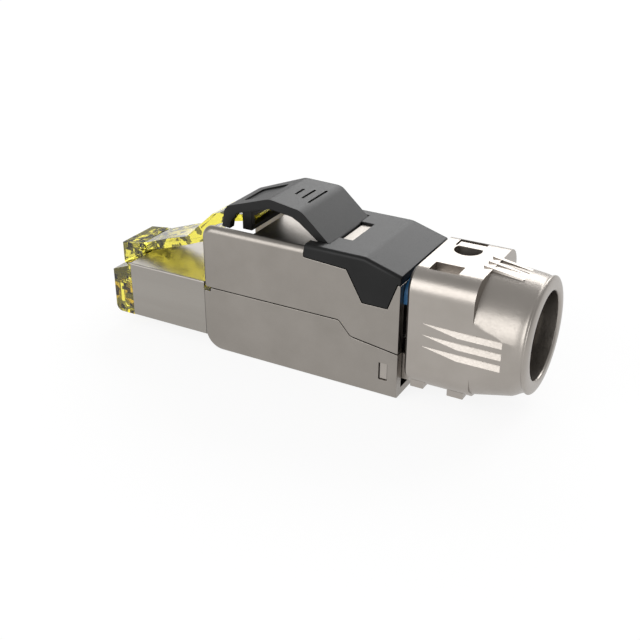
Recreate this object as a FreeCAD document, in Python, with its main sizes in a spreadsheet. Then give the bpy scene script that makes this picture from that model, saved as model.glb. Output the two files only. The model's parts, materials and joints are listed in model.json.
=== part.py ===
import FreeCAD, Part
import Sketcher
import math
import os
from types import SimpleNamespace

# Field termination ethernet plug, in millimetres.
# X runs from the contacts (-X) to the cable entry (+X), Y across, Z up to the release lever.
# Outlines are drawn with x = 0 on the front face of the housing, and every piece is then
# shifted by half a housing length, so that the origin is the middle of the housing's underside.

DIMENSIONS = {
    # die-cast housing, in two shells that part along a stepped seam
    "housing_length": 24.0,
    "housing_width": 12.2,
    "wall_top": 14.9,
    "side_wall": 1.15,
    "floor_wall": 0.9,
    "front_wall": 1.2,
    "chin_radius": 2.2,
    "brow_radius": 1.45,
    "top_edge_radius": 0.7,
    "bottom_edge_radius": 0.35,
    "seam_front_height": 7.58,
    "seam_rear_height": 5.24,
    "seam_foot_height": 6.0,
    "seam_knee": 17.1,
    "seam_foot": 18.5,
    "seam_round": 0.7,
    "seam_gap": 0.08,
    "deck_height": 14.3,
    "deck_rear_height": 13.0,
    "deck_start": 5.6,
    "deck_thickness": 1.1,
    "well_floor": 9.4,
    "ledge_width": 0.35,
    "ledge_depth": 0.35,
    "snap_window_rear": 1.15,
    "snap_window_length": 0.96,
    "snap_window_height": 1.97,
    "snap_window_base": 1.87,
    # black saddle over the rear of the housing, and the lever that springs from it
    "saddle_start": 12.9,
    "saddle_fit": 0.05,
    "saddle_round": 0.45,
    "plate_front_rise": 1.0,
    "plate_bend_rise": 0.95,
    "plate_rear_rise": 1.0,
    "plate_bend_round": 2.5,
    "plate_bend": 19.9,
    "flap_thickness": 0.7,
    "flap_front_height": 13.87,
    "flap_shoulder": 17.9,
    "flap_shoulder_height": 13.55,
    "flap_toe": 19.75,
    "flap_heel": 22.65,
    "flap_bottom": 10.2,
    "flap_tail": 23.8,
    "flap_tail_height": 13.35,
    "window_length": 1.45,
    "window_width": 5.1,
    "window_block_drop": 0.3,
    "hinge_x": 14.85,
    "hinge_rise": 0.55,
    "hinge_radius": 0.4,
    "hinge_gap": 0.05,
    "arm_rear_width": 9.0,
    "arm_crest_width": 9.14,
    "arm_middle_width": 8.03,
    "arm_front_width": 6.5,
    "arm_side_gap": 0.15,
    "crest": 11.75,
    "inner_crest": 11.6,
    "inner_crest_depth": 1.37,
    "inner_top": 10.55,
    "inner_top_depth": 1.31,
    "inner_middle": 7.7,
    "inner_middle_depth": 1.1,
    "inner_brow": 3.15,
    "inner_brow_depth": 0.55,
    "inner_lip": 2.25,
    "inner_lip_rise": 0.8,
    "brow_lean": 0.35,
    "brow_drop": 0.65,
    "crest_drop": 0.38,
    "arm_middle": 7.55,
    "arm_rise": 3.35,
    "brow_front": 1.7,
    "brow_round": 0.9,
    "crest_round": 1.6,
    "brow_fall": 2.05,
    "lip_front": 0.95,
    "lip_drop": 1.25,
    "lip_thickness": 1.15,
    "lip_window_width": 5.0,
    "lip_window_rise": 0.95,
    "lip_window_depth": 5.0,
    "catch_length": 1.2,
    "catch_wall": 0.6,
    "catch_bar": 0.45,
    "catch_play": 0.12,
    # transparent plug nose and its latch tab
    "nose_length": 13.0,
    "nose_width": 11.68,
    "nose_base": 1.38,
    "nose_height": 6.66,
    "nose_step": 1.26,
    "bare_front": 2.63,
    "nose_chin_radius": 0.8,
    "shield_thickness": 0.25,
    "shield_fit": 0.03,
    "tail_length": 5.0,
    "tail_side_gap": 0.15,
    "tail_base": 1.2,
    "tail_height": 6.9,
    "tail_fit": 0.05,
    "ear_length": 0.95,
    "ear_height": 0.4,
    "latch_width": 5.76,
    "latch_neck_width": 4.5,
    "root_length": 2.85,
    "root_front_top": 8.95,
    "root_front_bottom": 6.35,
    "root_rear_top": 9.3,
    "latch_pivot": 10.9,
    "latch_pivot_height": 8.85,
    "latch_root_radius": 0.42,
    "latch_gap": 0.05,
    "tab_width": 5.2,
    "tab_foot_low": 8.6,
    "tab_foot_rise": 0.1,
    "tab_foot_top": 6.6,
    "tab_foot_depth": 1.85,
    "tab_knee_low": 2.55,
    "tab_knee_rise": 2.05,
    "tab_knee_top": 4.5,
    "tab_knee_depth": 0.4,
    "tab_rise_low": 0.8,
    "tab_rise_rise": 2.35,
    "tab_rise_top": 2.95,
    "tab_rise_lean": 0.45,
    "tab_brow_low": 0.9,
    "tab_brow_rise": 0.8,
    "tab_brow_top": 1.0,
    "tab_brow_depth": 0.55,
    "tab_end_drop": 0.35,
    "tab_end_rise": 0.15,
    "tab_neck_front": 4.4,
    "tab_neck_rear": 3.0,
    "tab_bar": 4.15,
    "tab_bar_rise": 0.3,
    "tab_bar_radius": 0.42,
    "tab_bar_width": 5.2,
    # contacts and circuit board
    "contact_pitch": 1.02,
    "contact_thickness": 0.35,
    "contact_slot": 0.47,
    "contact_front": 12.45,
    "contact_rear": 8.2,
    "contact_base": 1.9,
    "contact_height": 2.62,
    "contact_toe": 0.6,
    "contact_lead": 0.35,
    "contact_lead_length": 2.6,
    "board_front": 7.2,
    "board_rear": 13.6,
    "board_side_wall": 0.5,
    "board_base": 4.55,
    "board_thickness": 1.0,
    "board_fit": 0.05,
    # insulation displacement block and its eight fork terminals
    "block_front": 8.0,
    "block_length": 6.4,
    "block_side_gap": 0.25,
    "block_base": 1.0,
    "block_top": 11.6,
    "terminal_thickness": 0.4,
    "terminal_root": 1.5,
    "terminal_leg": 0.8,
    "terminal_reach": 3.0,
    "terminal_height": 2.2,
    "terminal_mouth": 0.45,
    "terminal_flare": 0.6,
    "lower_row": 2.85,
    "upper_row": 8.6,
    "terminal_fit": 0.04,
    # wire manager with its shield cross
    "manager_front": 15.0,
    "manager_side_gap": 1.0,
    "manager_base": 1.15,
    "manager_top": 11.6,
    "manager_flange": 0.5,
    "manager_flange_base": 10.8,
    "manager_flange_round": 1.6,
    "manager_flange_inset": 0.8,
    "manager_flange_top": 13.2,
    "manager_bevel": 0.4,
    "flange_gap": 0.05,
    "wire_hole": 1.0,
    "pair_wall": 0.45,
    "pair_lead": 1.5,
    "cross_thickness": 0.5,
    "cross_length": 6.0,
    "cross_fit": 0.06,
    # rear cap with the round cable entry
    "cap_gap": 0.68,
    "cap_length": 7.1,
    "cap_base": 1.8,
    "cap_top": 14.85,
    "cap_corner": 2.3,
    "cap_rim_bevel": 0.3,
    "cap_wall": 1.2,
    "collar_centre": 8.15,
    "collar_front_swell": 0.5,
    "collar_rear_swell": 0.07,
    "collar_front_corner": 2.9,
    "collar_rear_corner": 4.9,
    "collar_rear_base": 2.05,
    "collar_wall": 0.9,
    "neck_start": 36.2,
    "neck_depth": 0.15,
    "ring_start": 36.5,
    "ring_end": 37.4,
    "ring_swell": 0.15,
    "ring_shoulder": 0.6,
    "entry_wall": 1.45,
    "entry_depth": 2.2,
    "scoop_tip": 26.6,
    "scoop_full": 30.3,
    "scoop_end": 34.85,
    "scoop_top": 9.62,
    "scoop_pitch": 1.28,
    "scoop_height": 0.78,
    "scoop_depth": 0.5,
    "scoop_tip_share": 0.04,
    "front_foot": 25.0,
    "front_foot_length": 1.45,
    "rear_foot": 29.1,
    "rear_foot_length": 1.75,
    "foot_bottom": 1.3,
    "foot_inner": 1.5,
    "foot_inset": 1.3,
    "pill_start": 30.8,
    "pill_end": 35.05,
    "pill_front_height": 15.04,
    "pill_rear_height": 14.63,
    "pill_width": 0.45,
    "pill_round": 0.2,
    "pill_pitch": 1.26,
    "notch_start": 26.2,
    "notch_end": 29.3,
    "notch_inner": 2.5,
    "notch_inset": 1.75,
    "notch_depth": 0.75,
    "port_x": 27.92,
    "port_centre": 1.8,
    "port_far_side": 2.45,
    "port_radius": 1.48,
    "snap_arm_inset": 1.95,
    "snap_arm_thickness": 0.7,
    "snap_arm_base": 1.95,
    "snap_arm_root": 2.2,
    "snap_arm_height": 3.0,
    "hook_inset": 0.2,
    "hook_fit": 0.08,
    # cable clamp spring inside the cap
    "clamp_start": 29.6,
    "clamp_band": 3.2,
    "clamp_finger": 2.4,
    "clamp_thickness": 0.35,
    "clamp_throat": 3.6,
    "clamp_fit": 0.05,
    "clamp_slots": 8,
    "clamp_slot_width": 0.7,
}

doc = FreeCAD.newDocument("field_plug")
sheet = doc.addObject("Spreadsheet::Sheet", "Sizes")


class Size:
    """A length that carries its number and the sheet formula that gives it."""

    def __init__(self, value, formula):
        self.value = value
        self.formula = formula

    def __add__(self, other):
        other = as_size(other)
        return Size(self.value + other.value, f"({self.formula} + {other.formula})")

    def __sub__(self, other):
        other = as_size(other)
        return Size(self.value - other.value, f"({self.formula} - {other.formula})")

    def __rsub__(self, other):
        return as_size(other) - self

    def __mul__(self, factor):
        factor = as_size(factor)
        return Size(self.value * factor.value, f"({self.formula} * {factor.formula})")

    def __truediv__(self, factor):
        factor = as_size(factor)
        return Size(self.value / factor.value, f"({self.formula} / {factor.formula})")

    def __neg__(self):
        return Size(-self.value, f"(0 - {self.formula})")

    __radd__ = __add__
    __rmul__ = __mul__


def as_size(number):
    return number if isinstance(number, Size) else Size(float(number), str(number))


for row, (alias, number) in enumerate(DIMENSIONS.items(), start=1):
    sheet.set(f"A{row}", alias)
    sheet.set(f"B{row}", str(number))
    sheet.setAlias(f"B{row}", alias)
doc.recompute()

s = SimpleNamespace(**{alias: Size(number, f"Sizes.{alias}") for alias, number in DIMENSIONS.items()})

# Places that several pieces share
half_width = s.housing_width / 2
cavity_width = s.housing_width - 2 * s.side_wall
tail_width = cavity_width - 2 * s.tail_side_gap
board_width = tail_width - 2 * s.board_side_wall
block_width = cavity_width - 2 * s.block_side_gap
manager_width = cavity_width - 2 * s.manager_side_gap
terminal_pitch = manager_width / 4
collar_bore = half_width - s.collar_wall
tab_bar_height = s.wall_top + s.tab_bar_rise
lever_root = 0.7 * s.hinge_radius
hinge_height = s.deck_height + s.hinge_rise
plate_front = s.deck_height + s.plate_front_rise
plate_bend_top = s.deck_height + s.plate_bend_rise
window_start = s.hinge_x + s.hinge_radius + 2 * s.hinge_gap
window_end = window_start + s.window_length
far = as_size(60)

parts = []


def new_body(label):
    """An empty body, placed so that the shared origin is the middle of the underside."""
    body = doc.addObject("PartDesign::Body", label)
    body.Label = label
    body.setExpression("Placement.Base.x", "-Sizes.housing_length / 2")
    parts.append(body)
    return body


def origin_feature(body, role):
    return next(item for item in body.Origin.OriginFeatures if item.Role == role)


def new_sketch(body, plane, offset=None, rise=None):
    """A sketch on an origin plane, moved off it by the offset and up in it by the rise."""
    sketch = body.newObject("Sketcher::SketchObject", body.Name + "_sketch")
    sketch.AttachmentSupport = [(origin_feature(body, plane), "")]
    sketch.MapMode = "FlatFace"
    if offset is not None:
        sketch.setExpression("AttachmentOffset.Base.z", as_size(offset).formula)
    if rise is not None:
        sketch.setExpression("AttachmentOffset.Base.y", as_size(rise).formula)
    return sketch


def pin(sketch, geometry, point, place):
    """Hold one sketch point at a place given by two sizes."""
    for kind, length in zip(("DistanceX", "DistanceY"), place):
        length = as_size(length)
        index = sketch.addConstraint(Sketcher.Constraint(kind, geometry, point, length.value))
        sketch.setExpression(f"Constraints[{index}]", length.formula)


def draw_loop(sketch, points):
    """Add a closed loop of straight lines through points, each pinned by sizes of the sheet."""
    places = [FreeCAD.Vector(as_size(x).value, as_size(y).value, 0) for x, y in points]
    first = sketch.GeometryCount
    for index, place in enumerate(places):
        sketch.addGeometry(Part.LineSegment(place, places[(index + 1) % len(places)]))
    for index, place in enumerate(points):
        following = first + (index + 1) % len(places)
        sketch.addConstraint(Sketcher.Constraint("Coincident", first + index, 2, following, 1))
        pin(sketch, first + index, 1, place)


def outline(body, plane, points, offset=None, rise=None):
    sketch = new_sketch(body, plane, offset, rise)
    draw_loop(sketch, points)
    return sketch


def rectangles(body, plane, corner_pairs, offset=None):
    sketch = new_sketch(body, plane, offset)
    for low, high in corner_pairs:
        draw_loop(sketch, [low, (high[0], low[1]), high, (low[0], high[1])])
    return sketch


def rectangle(body, plane, low, high, offset=None):
    return rectangles(body, plane, [(low, high)], offset)


def circles(body, plane, centres, radius, offset=None):
    sketch = new_sketch(body, plane, offset)
    for centre in centres:
        place = FreeCAD.Vector(as_size(centre[0]).value, as_size(centre[1]).value, 0)
        number = sketch.addGeometry(Part.Circle(place, FreeCAD.Vector(0, 0, 1), as_size(radius).value))
        index = sketch.addConstraint(Sketcher.Constraint("Radius", number, as_size(radius).value))
        sketch.setExpression(f"Constraints[{index}]", as_size(radius).formula)
        pin(sketch, number, 3, centre)
    return sketch


def extrude(kind, sketch, length, side="Symmetric", backwards=False):
    body = sketch.getParentGeoFeatureGroup()
    feature = body.newObject(f"PartDesign::{kind}", f"{body.Name}_{kind.lower()}")
    feature.Profile = sketch
    feature.SideType = side
    feature.Reversed = backwards
    feature.setExpression("Length", as_size(length).formula)
    sketch.Visibility = False
    doc.recompute()
    return feature


def pad(sketch, length, side="Symmetric", backwards=False):
    """Add the outline's solid, both ways from its plane unless a side is named."""
    return extrude("Pad", sketch, length, side, backwards)


def pocket(sketch, length, side="Symmetric", backwards=False):
    """Cut the outline's solid, and check that it did cut."""
    body = sketch.getParentGeoFeatureGroup()
    before = body.Shape.Volume
    feature = extrude("Pocket", sketch, length, side, backwards)
    if not feature.Shape.Volume < before:
        raise ValueError(f"{feature.Name} cuts nothing")
    return feature


def mirror(*features):
    """Repeat features on the other side of the middle plane."""
    body = features[0].getParentGeoFeatureGroup()
    copy = body.newObject("PartDesign::Mirrored", body.Name + "_mirror")
    copy.Originals = list(features)
    copy.MirrorPlane = (origin_feature(body, "XZ_Plane"), [""])
    body.Tip = copy
    doc.recompute()
    return copy


def turn(kind, sketch):
    """Spin an outline about its own horizontal axis, to add or to cut a round form."""
    body = sketch.getParentGeoFeatureGroup()
    before = body.Shape.Volume if kind == "Groove" else None
    feature = body.newObject(f"PartDesign::{kind}", f"{body.Name}_{kind.lower()}")
    feature.Profile = sketch
    feature.ReferenceAxis = (sketch, ["H_Axis"])
    feature.Angle = 360
    sketch.Visibility = False
    doc.recompute()
    if before is not None and not feature.Shape.Volume < before:
        raise ValueError(f"{feature.Name} cuts nothing")
    return feature


def straight_edges(feature, axis, *places):
    """Names of the edges along an axis whose middle lies at one of the given places.

    A place gives sizes for x, y or z, and y counts on both sides of the middle plane."""
    names = []
    for number, edge in enumerate(feature.Shape.Edges, start=1):
        if edge.Curve.TypeId != "Part::GeomLine":
            continue
        run = edge.Vertexes[-1].Point - edge.Vertexes[0].Point
        if abs(getattr(run.normalize(), axis)) < 0.99:
            continue
        middle = edge.CenterOfMass
        for place in places:
            found = {"x": middle.x, "y": abs(middle.y), "z": middle.z}
            if all(abs(found[key] - as_size(size).value) < 0.03 for key, size in place.items()):
                names.append(f"Edge{number}")
                break
    return names


def dress(kind, feature, names, size):
    """Round or bevel the named edges of a feature."""
    if not names:
        raise ValueError(f"{feature.Name} has no edge there")
    body = feature.getParentGeoFeatureGroup()
    edge_work = body.newObject(f"PartDesign::{kind}", f"{body.Name}_{kind.lower()}")
    edge_work.Base = (feature, names)
    edge_work.setExpression("Radius" if kind == "Fillet" else "Size", as_size(size).formula)
    doc.recompute()
    return edge_work


def fillet(feature, names, radius):
    return dress("Fillet", feature, names, radius)


def chamfer(feature, names, size):
    return dress("Chamfer", feature, names, size)


def seam_line(lift):
    """The stepped parting line of the two shells, front to rear."""
    return [
        (0, s.seam_front_height + lift),
        (s.seam_knee, s.seam_front_height + lift),
        (s.seam_foot, s.seam_foot_height + lift),
        (s.housing_length, s.seam_rear_height + lift),
    ]


def make_lower_shell():
    """Tray of the housing: floor, two sides and the lower half of the front wall."""
    body = new_body("lower_shell")
    side_view = [(0, 0)] + seam_line(0) + [(s.housing_length, 0)]
    solid = pad(outline(body, "XZ_Plane", side_view), s.housing_width)
    solid = fillet(solid, straight_edges(solid, "y", {"x": 0, "z": 0}), s.chin_radius)
    bends = straight_edges(solid, "y", {"x": s.seam_knee, "z": s.seam_front_height},
                           {"x": s.seam_foot, "z": s.seam_foot_height})
    solid = fillet(solid, bends, s.seam_round)
    solid = fillet(solid, straight_edges(solid, "x", {"y": half_width, "z": 0}), s.bottom_edge_radius)
    tray = rectangle(body, "XZ_Plane", (s.front_wall, s.floor_wall), (far, far))
    pocket(tray, cavity_width)
    opening_base = s.tail_base - s.tail_fit
    mouth = rectangle(body, "XZ_Plane", (-s.front_wall, opening_base), (2 * s.front_wall, far))
    pocket(mouth, tail_width + 2 * s.tail_fit)
    window_rear = s.housing_length - s.snap_window_rear
    window = rectangle(body, "XZ_Plane", (window_rear - s.snap_window_length, s.snap_window_base),
                       (window_rear, s.snap_window_base + s.snap_window_height))
    pocket(window, far)
    ear_seat = rectangle(body, "XZ_Plane", (-s.ear_length, s.seam_front_height - s.ear_height),
                         (s.ear_length + s.tail_fit, far))
    pocket(ear_seat, far)
    return body


def make_upper_shell():
    """Roof of the housing, with the open well for the latch tab at its front."""
    body = new_body("upper_shell")
    side_view = seam_line(s.seam_gap) + [
        (s.housing_length, s.deck_rear_height),
        (s.plate_bend, s.deck_height),
        (s.saddle_start, s.deck_height),
        (s.saddle_start, s.wall_top),
        (0, s.wall_top),
    ]
    solid = pad(outline(body, "XZ_Plane", side_view), s.housing_width)
    solid = fillet(solid, straight_edges(solid, "y", {"x": 0, "z": s.wall_top}), s.brow_radius)
    bends = straight_edges(solid, "y", {"x": s.seam_knee, "z": s.seam_front_height + s.seam_gap},
                           {"x": s.seam_foot, "z": s.seam_foot_height + s.seam_gap})
    solid = fillet(solid, bends, s.seam_round)
    rim = [f"Edge{number}" for number, edge in enumerate(solid.Shape.Edges, start=1)
           if abs(abs(edge.CenterOfMass.y) - half_width.value) < 0.01
           and edge.CenterOfMass.z > s.seam_front_height.value + 1
           and edge.CenterOfMass.x < s.saddle_start.value - 0.5]
    solid = fillet(solid, rim, s.top_edge_radius)
    channel = rectangle(body, "XZ_Plane", (-s.front_wall, s.deck_height), (far, far))
    pocket(channel, cavity_width)
    well = rectangle(body, "XZ_Plane", (-s.front_wall, s.well_floor), (s.deck_start, far))
    pocket(well, cavity_width)
    ledge = rectangle(body, "XZ_Plane", (-s.front_wall, s.wall_top - s.ledge_depth), (far, far))
    pocket(ledge, cavity_width + 2 * s.ledge_width)
    under_well = s.well_floor - s.deck_thickness
    inside = [
        (s.front_wall, 0),
        (s.front_wall, under_well),
        (s.deck_start + s.deck_thickness, under_well),
        (s.deck_start + s.deck_thickness, s.deck_height - s.deck_thickness),
        (s.plate_bend, s.deck_height - s.deck_thickness),
        (s.housing_length, s.deck_rear_height - s.deck_thickness),
        (far, s.deck_rear_height - s.deck_thickness),
        (far, 0),
    ]
    pocket(outline(body, "XZ_Plane", inside), cavity_width)
    opening_top = s.tail_base + s.tail_height + s.tail_fit
    mouth = rectangle(body, "XZ_Plane", (-s.front_wall, 0), (2 * s.front_wall, opening_top))
    pocket(mouth, tail_width + 2 * s.tail_fit)
    flap_bed = outline(body, "XZ_Plane", flap_outline(0), half_width)
    bed = pocket(flap_bed, s.flap_thickness, "One side")
    mirror(bed)
    block = rectangle(body, "XY_Plane",
                      (window_start + s.saddle_fit, s.saddle_fit - s.window_width / 2),
                      (window_end - s.saddle_fit, s.window_width / 2 - s.saddle_fit),
                      s.deck_height - s.deck_thickness / 2)
    pad(block, s.plate_front_rise - s.window_block_drop + s.deck_thickness / 2, "One side")
    return body


def flap_outline(inset):
    """Side outline of the saddle's flap, drawn smaller by the inset."""
    above = plate_front + 1 - inset
    return [
        (s.saddle_start + inset, above),
        (s.saddle_start + inset, s.flap_front_height + inset),
        (s.flap_shoulder + inset, s.flap_shoulder_height + inset),
        (s.flap_toe + inset, s.flap_bottom + inset),
        (s.flap_heel - inset, s.flap_bottom + inset),
        (s.flap_tail - inset, s.flap_tail_height + inset),
        (s.flap_tail - inset, above),
    ]


def make_saddle_cover():
    """Black moulded saddle: a bent plate over the deck with a flap down each side."""
    body = new_body("saddle_cover")
    fit = s.saddle_fit
    front = s.saddle_start + fit
    profile = [
        (front, s.deck_height + fit),
        (s.plate_bend, s.deck_height + fit),
        (s.housing_length, s.deck_rear_height + fit),
        (s.housing_length, s.deck_rear_height + s.plate_rear_rise),
        (s.plate_bend, plate_bend_top),
        (front, plate_front),
    ]
    solid = pad(outline(body, "XZ_Plane", profile), s.housing_width)
    bend = straight_edges(solid, "y", {"x": s.plate_bend, "z": plate_bend_top})
    solid = fillet(solid, bend, s.plate_bend_round)
    ridges = [f"Edge{number}" for number, edge in enumerate(solid.Shape.Edges, start=1)
              if abs(abs(edge.CenterOfMass.y) - half_width.value) < 0.01
              and edge.CenterOfMass.x > front.value + 0.1
              and edge.CenterOfMass.x < s.housing_length.value - 0.1
              and edge.CenterOfMass.z > (s.deck_height + 4 * fit).value]
    solid = fillet(solid, ridges, s.saddle_round)
    side = s.flap_thickness - fit
    skirt = [
        (front, s.deck_height + 3 * fit),
        (front, s.flap_front_height + fit),
        (s.flap_shoulder + fit, s.flap_shoulder_height + fit),
        (s.flap_toe + fit, s.flap_bottom + fit),
        (s.flap_heel - fit, s.flap_bottom + fit),
        (s.flap_tail - fit, s.flap_tail_height + fit),
        (s.flap_tail - fit, s.deck_rear_height + 3 * fit),
        (s.plate_bend, s.deck_height + 3 * fit),
    ]
    flap = pad(outline(body, "XZ_Plane", skirt, half_width), side, "One side", backwards=True)
    mirror(flap)
    gap = s.arm_rear_width + 2 * s.arm_side_gap
    pocket(rectangle(body, "XZ_Plane", (0, 0), (s.hinge_x, far)), gap)
    pocket(circles(body, "XZ_Plane", [(s.hinge_x, hinge_height)], s.hinge_radius + s.hinge_gap), gap)
    above_root = rectangle(body, "XZ_Plane", (s.hinge_x - s.hinge_radius, hinge_height + lever_root),
                           (s.hinge_x + lever_root + s.hinge_gap, far))
    pocket(above_root, gap)
    window = rectangle(body, "XY_Plane", (s.hinge_x, -s.window_width / 2), (window_end, s.window_width / 2))
    pocket(window, far)
    return body


def make_release_lever():
    """Arched lever that the thumb presses. Its front lip and catch take the latch tab down."""
    body = new_body("release_lever")
    root = lever_root
    arm_top = tab_bar_height + s.arm_rise
    crest_top = arm_top - s.crest_drop
    brow_top = arm_top - s.brow_fall
    lip_bottom = tab_bar_height - s.lip_drop
    arch = [
        (s.lip_front, lip_bottom),
        (s.lip_front + s.brow_lean, brow_top - s.brow_drop),
        (s.brow_front, brow_top),
        (s.arm_middle, arm_top),
        (s.crest, crest_top),
        (s.hinge_x + root, hinge_height + root),
        (s.hinge_x - root, hinge_height - root),
        (s.inner_crest, crest_top - s.inner_crest_depth),
        (s.inner_top, arm_top - s.inner_top_depth),
        (s.inner_middle, arm_top - s.inner_middle_depth),
        (s.inner_brow, brow_top - s.inner_brow_depth),
        (s.inner_lip, lip_bottom + s.inner_lip_rise),
        (s.lip_front + s.lip_thickness, lip_bottom),
    ]
    solid = pad(outline(body, "XZ_Plane", arch), s.arm_crest_width)
    brows = straight_edges(solid, "y", {"x": s.lip_front + s.brow_lean, "z": brow_top - s.brow_drop},
                           {"x": s.brow_front, "z": brow_top})
    solid = fillet(solid, brows, s.brow_round)
    crests = straight_edges(solid, "y", {"x": s.arm_middle, "z": arm_top}, {"x": s.crest, "z": crest_top},
                            {"x": s.inner_crest, "z": crest_top - s.inner_crest_depth})
    fillet(solid, crests, s.crest_round)
    pad(circles(body, "XZ_Plane", [(s.hinge_x, hinge_height)], s.hinge_radius), s.arm_rear_width)
    reach = s.tab_bar_radius + s.catch_play
    catch_mid = s.tab_bar - s.tab_bar_radius + s.catch_length / 2
    hole_width = s.tab_bar_width / 2 + s.catch_play
    catch_low = tab_bar_height - reach - s.catch_bar
    frame = rectangle(body, "YZ_Plane", (-hole_width - s.catch_wall, catch_low),
                      (hole_width + s.catch_wall, brow_top), catch_mid)
    pad(frame, s.catch_length)
    hole = rectangle(body, "YZ_Plane", (-hole_width, tab_bar_height - reach),
                     (hole_width, tab_bar_height + reach), catch_mid)
    pocket(hole, 2 * s.catch_length)
    lip_hole = rectangle(body, "YZ_Plane", (-s.lip_window_width / 2, 0),
                         (s.lip_window_width / 2, tab_bar_height + s.lip_window_rise), s.lip_front)
    pocket(lip_hole, s.lip_window_depth)
    trim = [
        (0, s.arm_front_width / 2),
        (s.lip_front, s.arm_front_width / 2),
        (s.arm_middle, s.arm_middle_width / 2),
        (s.crest, s.arm_crest_width / 2),
        (far, s.arm_crest_width / 2),
        (far, far),
        (0, far),
    ]
    mirror(pocket(outline(body, "XY_Plane", trim), far * 2))
    return body


def make_plug_nose():
    """Clear nose: bare front block, shielded middle, and a tail held in the housing."""
    body = new_body("plug_nose")
    top = s.nose_base + s.nose_height
    skin = s.shield_thickness + s.shield_fit
    front = -s.nose_length
    bare_end = s.bare_front - s.nose_length
    block = [
        (front, s.nose_base),
        (bare_end, s.nose_base),
        (bare_end, top - skin),
        (front, top - s.nose_step),
    ]
    solid = pad(outline(body, "XZ_Plane", block), s.nose_width)
    fillet(solid, straight_edges(solid, "y", {"x": front, "z": s.nose_base}), s.nose_chin_radius)
    middle = rectangle(body, "XZ_Plane", (bare_end - s.bare_front / 4, s.nose_base + skin),
                       (-s.tail_fit, top - skin))
    pad(middle, s.nose_width - 2 * skin)
    tail = rectangle(body, "XZ_Plane", (-s.front_wall, s.nose_base + skin), (0, top - skin))
    pad(tail, tail_width)
    plug = rectangle(body, "XZ_Plane", (0, s.tail_base), (s.tail_length, s.tail_base + s.tail_height))
    pad(plug, tail_width)
    ear = rectangle(body, "XZ_Plane", (s.tail_fit, s.seam_front_height - s.ear_height + s.tail_fit),
                    (s.ear_length, s.seam_front_height))
    pad(ear, s.housing_width - s.tail_fit)
    root_front = -s.latch_pivot - s.root_length
    root = [
        (root_front, s.root_front_bottom),
        (bare_end, s.root_front_bottom),
        (bare_end, top),
        (-s.latch_pivot, top),
        (-s.latch_pivot, s.root_rear_top),
        (root_front, s.root_front_top),
    ]
    pad(outline(body, "XZ_Plane", root), s.latch_width)
    socket = circles(body, "XZ_Plane", [(-s.latch_pivot, s.latch_pivot_height)],
                     s.latch_root_radius + s.latch_gap)
    pocket(socket, far)
    comb_top = s.contact_base + s.contact_height + s.board_fit
    slots = []
    for number in range(8):
        middle_y = s.contact_pitch * (number - 3.5)
        slots.append(((middle_y - s.contact_slot / 2, 0), (middle_y + s.contact_slot / 2, comb_top)))
    comb = rectangles(body, "YZ_Plane", slots, s.contact_lead_length - s.contact_rear + s.board_fit)
    pocket(comb, s.nose_length, "One side")
    board_end = s.tail_length + s.front_wall
    board_slot = rectangle(body, "XZ_Plane",
                           (-s.board_front - s.board_fit, s.board_base - s.board_fit),
                           (board_end, s.board_base + s.board_thickness + s.board_fit))
    pocket(board_slot, board_width + 2 * s.board_fit)
    return body


def make_latch_tab():
    """Springy tab that rises from the nose to a cross bar under the lever."""
    body = new_body("latch_tab")
    root = s.latch_pivot_height
    foot = root + s.tab_foot_rise
    knee = foot + s.tab_knee_rise
    rise = knee + s.tab_rise_rise
    brow = rise + s.tab_brow_rise
    strip = [
        (-s.latch_pivot, root - s.latch_root_radius),
        (-s.tab_foot_low, foot),
        (-s.tab_knee_low, knee),
        (-s.tab_rise_low, rise),
        (s.tab_brow_low, brow),
        (s.tab_bar, tab_bar_height - s.tab_end_drop),
        (s.tab_bar, tab_bar_height + s.tab_end_rise),
        (s.tab_brow_low, tab_bar_height + s.tab_end_rise),
        (-s.tab_brow_top, brow + s.tab_brow_depth),
        (-s.tab_rise_top, rise - s.tab_rise_lean),
        (-s.tab_knee_top, knee + s.tab_knee_depth),
        (-s.tab_foot_top, foot + s.tab_foot_depth),
        (-s.latch_pivot, root + s.latch_root_radius),
    ]
    pad(outline(body, "XZ_Plane", strip), s.tab_width)
    pad(circles(body, "XZ_Plane", [(-s.latch_pivot, root)], s.latch_root_radius), s.latch_width)
    neck = [
        (-s.tab_neck_front, s.tab_width),
        (-s.tab_neck_front, s.tab_width / 2),
        (-s.tab_neck_rear, s.latch_neck_width / 2),
        (far, s.latch_neck_width / 2),
        (far, s.tab_width),
    ]
    mirror(pocket(outline(body, "XY_Plane", neck), far * 2))
    pad(circles(body, "XZ_Plane", [(s.tab_bar, tab_bar_height)], s.tab_bar_radius), s.tab_bar_width)
    return body


def make_nose_shield():
    """Folded sheet sleeve round the nose, cut away below over the contacts."""
    body = new_body("nose_shield")
    start = s.bare_front - s.nose_length
    top = s.nose_base + s.nose_height
    length = -s.tail_fit - start
    sleeve = rectangle(body, "YZ_Plane", (-s.nose_width / 2, s.nose_base), (s.nose_width / 2, top), start)
    solid = pad(sleeve, length, "One side")
    folds = straight_edges(solid, "x", {"y": s.nose_width / 2, "z": top},
                           {"y": s.nose_width / 2, "z": s.nose_base})
    fillet(solid, folds, 0.7 * s.shield_thickness)
    skin = s.shield_thickness
    inner = rectangle(body, "YZ_Plane", (skin - s.nose_width / 2, s.nose_base + skin),
                      (s.nose_width / 2 - skin, top - skin), start)
    pocket(inner, length, "One side", backwards=True)
    access = rectangle(body, "XY_Plane", (-s.nose_length, -board_width / 2),
                       (s.contact_lead_length / 2 - s.contact_rear, board_width / 2))
    pocket(access, s.nose_base + 2 * skin, "One side", backwards=True)
    return body


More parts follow.
